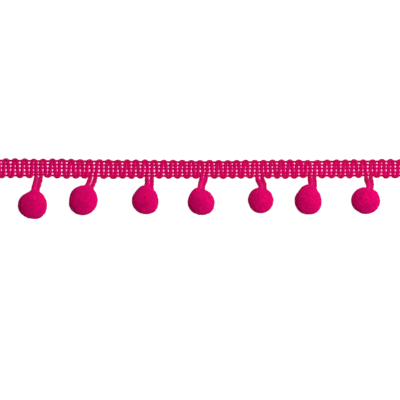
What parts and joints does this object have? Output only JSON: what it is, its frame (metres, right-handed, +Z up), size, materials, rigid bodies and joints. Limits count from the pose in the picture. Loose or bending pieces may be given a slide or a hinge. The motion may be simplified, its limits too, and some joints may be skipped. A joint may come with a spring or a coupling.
{
  "type": "pompom fringe trim",
  "caption": "Cut length of openwork braid heading with clipped round pompoms hanging on doubled loops of its own cord, lying flat on its back.",
  "frame": {"origin": "middle of the heading's flat back, half way along and half way across the heading", "axes": "+X along the heading, +Y across it and away from the pompoms, +Z up from the surface that the trim lies on"},
  "size_m": [0.23, 0.0329, 0.0151],
  "materials": {
    "trim_cord": "matte softly twisted cord",
    "clipped_pile": "matte dense clipped yarn pile"
  },
  "bodies": {
    "root": {"heading_braid": "trim_cord", "loop_1": "trim_cord", "loop_2": "trim_cord", "loop_3": "trim_cord", "loop_4": "trim_cord", "loop_5": "trim_cord", "loop_6": "trim_cord", "loop_7": "trim_cord", "pompom_1": "clipped_pile", "pompom_2": "clipped_pile", "pompom_3": "clipped_pile", "pompom_4": "clipped_pile", "pompom_5": "clipped_pile", "pompom_6": "clipped_pile", "pompom_7": "clipped_pile"}
  },
  "joints": []
}
